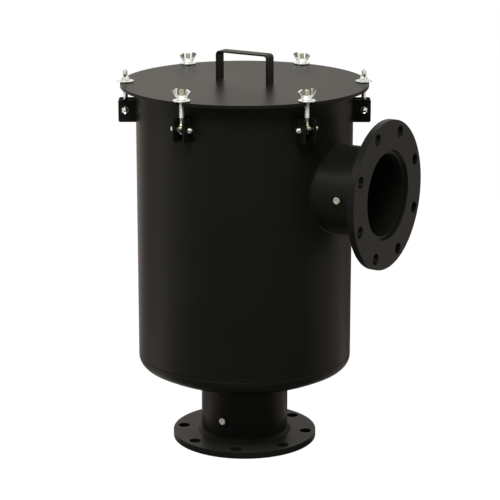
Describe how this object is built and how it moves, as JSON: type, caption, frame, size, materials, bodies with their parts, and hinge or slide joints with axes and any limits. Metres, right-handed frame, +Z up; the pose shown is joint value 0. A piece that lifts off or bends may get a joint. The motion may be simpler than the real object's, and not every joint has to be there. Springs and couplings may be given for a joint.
{
  "type": "vacuum filter",
  "caption": "Upright cylindrical vacuum filter vessel with a side inlet flange, a bottom outlet flange, a swing-bolt lid and a pleated element inside.",
  "frame": {"origin": "centre of the outlet flange's gasket face, at the bottom of the vessel", "axes": "+Z up the vessel's axis towards the lid, +X along the inlet pipe towards its flange, +Y to the back"},
  "size_m": [0.5396, 0.482, 0.7613],
  "materials": {
    "black_coat": "satin black powder coat",
    "bright_zinc": "bright zinc plate",
    "plug_steel": "plain steel",
    "galvanised": "galvanised sheet",
    "black_rubber": "matt closed-cell rubber",
    "filter_cloth": "pleated needle felt"
  },
  "bodies": {
    "vessel": {"bottom_head": "black_coat", "cap_nuts": "bright_zinc", "clamp_lugs": "black_coat", "element_gasket": "black_rubber", "gauge_bosses": "black_coat", "gauge_plugs": "plug_steel", "inlet_flange": "black_coat", "inlet_pipe": "black_coat", "inner_cage": "galvanised", "lower_end_cap": "galvanised", "outer_cage": "galvanised", "outlet_flange": "black_coat", "outlet_pipe": "black_coat", "pivot_studs": "bright_zinc", "pleated_media": "filter_cloth", "rim_ring": "black_coat", "seat_plate": "black_coat", "shell": "black_coat", "spider": "black_coat", "tie_rod": "bright_zinc", "tie_rod_nuts": "bright_zinc", "upper_end_cap": "galvanised"},
    "lid": {"lid_plate": "black_coat", "lid_handle": "black_coat", "lid_gasket": "black_rubber"},
    "bolt_1": {"eye_bolt_1": "bright_zinc"},
    "washer_1": {"clamp_washer_1": "bright_zinc"},
    "nut_1": {"wing_nut_1": "bright_zinc"},
    "bolt_2": {"eye_bolt_2": "bright_zinc"},
    "washer_2": {"clamp_washer_2": "bright_zinc"},
    "nut_2": {"wing_nut_2": "bright_zinc"},
    "bolt_3": {"eye_bolt_3": "bright_zinc"},
    "washer_3": {"clamp_washer_3": "bright_zinc"},
    "nut_3": {"wing_nut_3": "bright_zinc"},
    "bolt_4": {"eye_bolt_4": "bright_zinc"},
    "washer_4": {"clamp_washer_4": "bright_zinc"},
    "nut_4": {"wing_nut_4": "bright_zinc"},
    "bolt_5": {"eye_bolt_5": "bright_zinc"},
    "washer_5": {"clamp_washer_5": "bright_zinc"},
    "nut_5": {"wing_nut_5": "bright_zinc"},
    "bolt_6": {"eye_bolt_6": "bright_zinc"},
    "washer_6": {"clamp_washer_6": "bright_zinc"},
    "nut_6": {"wing_nut_6": "bright_zinc"},
    "hold_washer": {"hold_down_washer": "black_rubber"},
    "hold_nut": {"hold_down_nut": "bright_zinc"}
  },
  "joints": [
    {"name": "lid_lift", "type": "slide", "parent": "vessel", "child": "lid", "axis": [0, 0, 1], "range_m": [0, 0.36]},
    {"name": "bolt_1_swing", "type": "hinge", "parent": "vessel", "child": "bolt_1", "pos_m": [0.19486, 0.1125, 0.65335], "axis": [-0.5, 0.866, 0], "range_deg": [0, 175]},
    {"name": "nut_1_rise", "type": "slide", "parent": "bolt_1", "child": "washer_1", "axis": [0, 0, 1], "range_m": [-0.00089, 0.00794]},
    {"name": "nut_1_turn", "type": "hinge", "parent": "washer_1", "child": "nut_1", "pos_m": [0.19486, 0.1125, 0.70435], "axis": [0, 0, 1], "range_deg": [-200, 1800]},
    {"name": "bolt_2_swing", "type": "hinge", "parent": "vessel", "child": "bolt_2", "pos_m": [0, 0.225, 0.65335], "axis": [-1, 0, 0], "range_deg": [0, 175]},
    {"name": "nut_2_rise", "type": "slide", "parent": "bolt_2", "child": "washer_2", "axis": [0, 0, 1], "range_m": [-0.00089, 0.00794]},
    {"name": "nut_2_turn", "type": "hinge", "parent": "washer_2", "child": "nut_2", "pos_m": [0, 0.225, 0.70435], "axis": [0, 0, 1], "range_deg": [-200, 1800]},
    {"name": "bolt_3_swing", "type": "hinge", "parent": "vessel", "child": "bolt_3", "pos_m": [-0.19486, 0.1125, 0.65335], "axis": [-0.5, -0.866, 0], "range_deg": [0, 175]},
    {"name": "nut_3_rise", "type": "slide", "parent": "bolt_3", "child": "washer_3", "axis": [0, 0, 1], "range_m": [-0.00089, 0.00794]},
    {"name": "nut_3_turn", "type": "hinge", "parent": "washer_3", "child": "nut_3", "pos_m": [-0.19486, 0.1125, 0.70435], "axis": [0, 0, 1], "range_deg": [-200, 1800]},
    {"name": "bolt_4_swing", "type": "hinge", "parent": "vessel", "child": "bolt_4", "pos_m": [-0.19486, -0.1125, 0.65335], "axis": [0.5, -0.866, 0], "range_deg": [0, 175]},
    {"name": "nut_4_rise", "type": "slide", "parent": "bolt_4", "child": "washer_4", "axis": [0, 0, 1], "range_m": [-0.00089, 0.00794]},
    {"name": "nut_4_turn", "type": "hinge", "parent": "washer_4", "child": "nut_4", "pos_m": [-0.19486, -0.1125, 0.70435], "axis": [0, 0, 1], "range_deg": [-200, 1800]},
    {"name": "bolt_5_swing", "type": "hinge", "parent": "vessel", "child": "bolt_5", "pos_m": [0, -0.225, 0.65335], "axis": [1, 0, 0], "range_deg": [0, 175]},
    {"name": "nut_5_rise", "type": "slide", "parent": "bolt_5", "child": "washer_5", "axis": [0, 0, 1], "range_m": [-0.00089, 0.00794]},
    {"name": "nut_5_turn", "type": "hinge", "parent": "washer_5", "child": "nut_5", "pos_m": [0, -0.225, 0.70435], "axis": [0, 0, 1], "range_deg": [-200, 1800]},
    {"name": "bolt_6_swing", "type": "hinge", "parent": "vessel", "child": "bolt_6", "pos_m": [0.19486, -0.1125, 0.65335], "axis": [0.5, 0.866, 0], "range_deg": [0, 175]},
    {"name": "nut_6_rise", "type": "slide", "parent": "bolt_6", "child": "washer_6", "axis": [0, 0, 1], "range_m": [-0.00089, 0.00794]},
    {"name": "nut_6_turn", "type": "hinge", "parent": "washer_6", "child": "nut_6", "pos_m": [0.19486, -0.1125, 0.70435], "axis": [0, 0, 1], "range_deg": [-200, 1800]},
    {"name": "hold_nut_rise", "type": "slide", "parent": "vessel", "child": "hold_washer", "axis": [0, 0, 1], "range_m": [0, 0.00978]},
    {"name": "hold_nut_turn", "type": "hinge", "parent": "hold_washer", "child": "hold_nut", "pos_m": [0, 0, 0.563], "axis": [0, 0, 1], "range_deg": [0, 1800]}
  ],
  "couplings": [
    {"joint": "nut_1_rise", "follows": "nut_1_turn", "m_per_rad": 0.00025266},
    {"joint": "nut_2_rise", "follows": "nut_2_turn", "m_per_rad": 0.00025266},
    {"joint": "nut_3_rise", "follows": "nut_3_turn", "m_per_rad": 0.00025266},
    {"joint": "nut_4_rise", "follows": "nut_4_turn", "m_per_rad": 0.00025266},
    {"joint": "nut_5_rise", "follows": "nut_5_turn", "m_per_rad": 0.00025266},
    {"joint": "nut_6_rise", "follows": "nut_6_turn", "m_per_rad": 0.00025266},
    {"joint": "hold_nut_rise", "follows": "hold_nut_turn", "m_per_rad": 0.00031096}
  ]
}
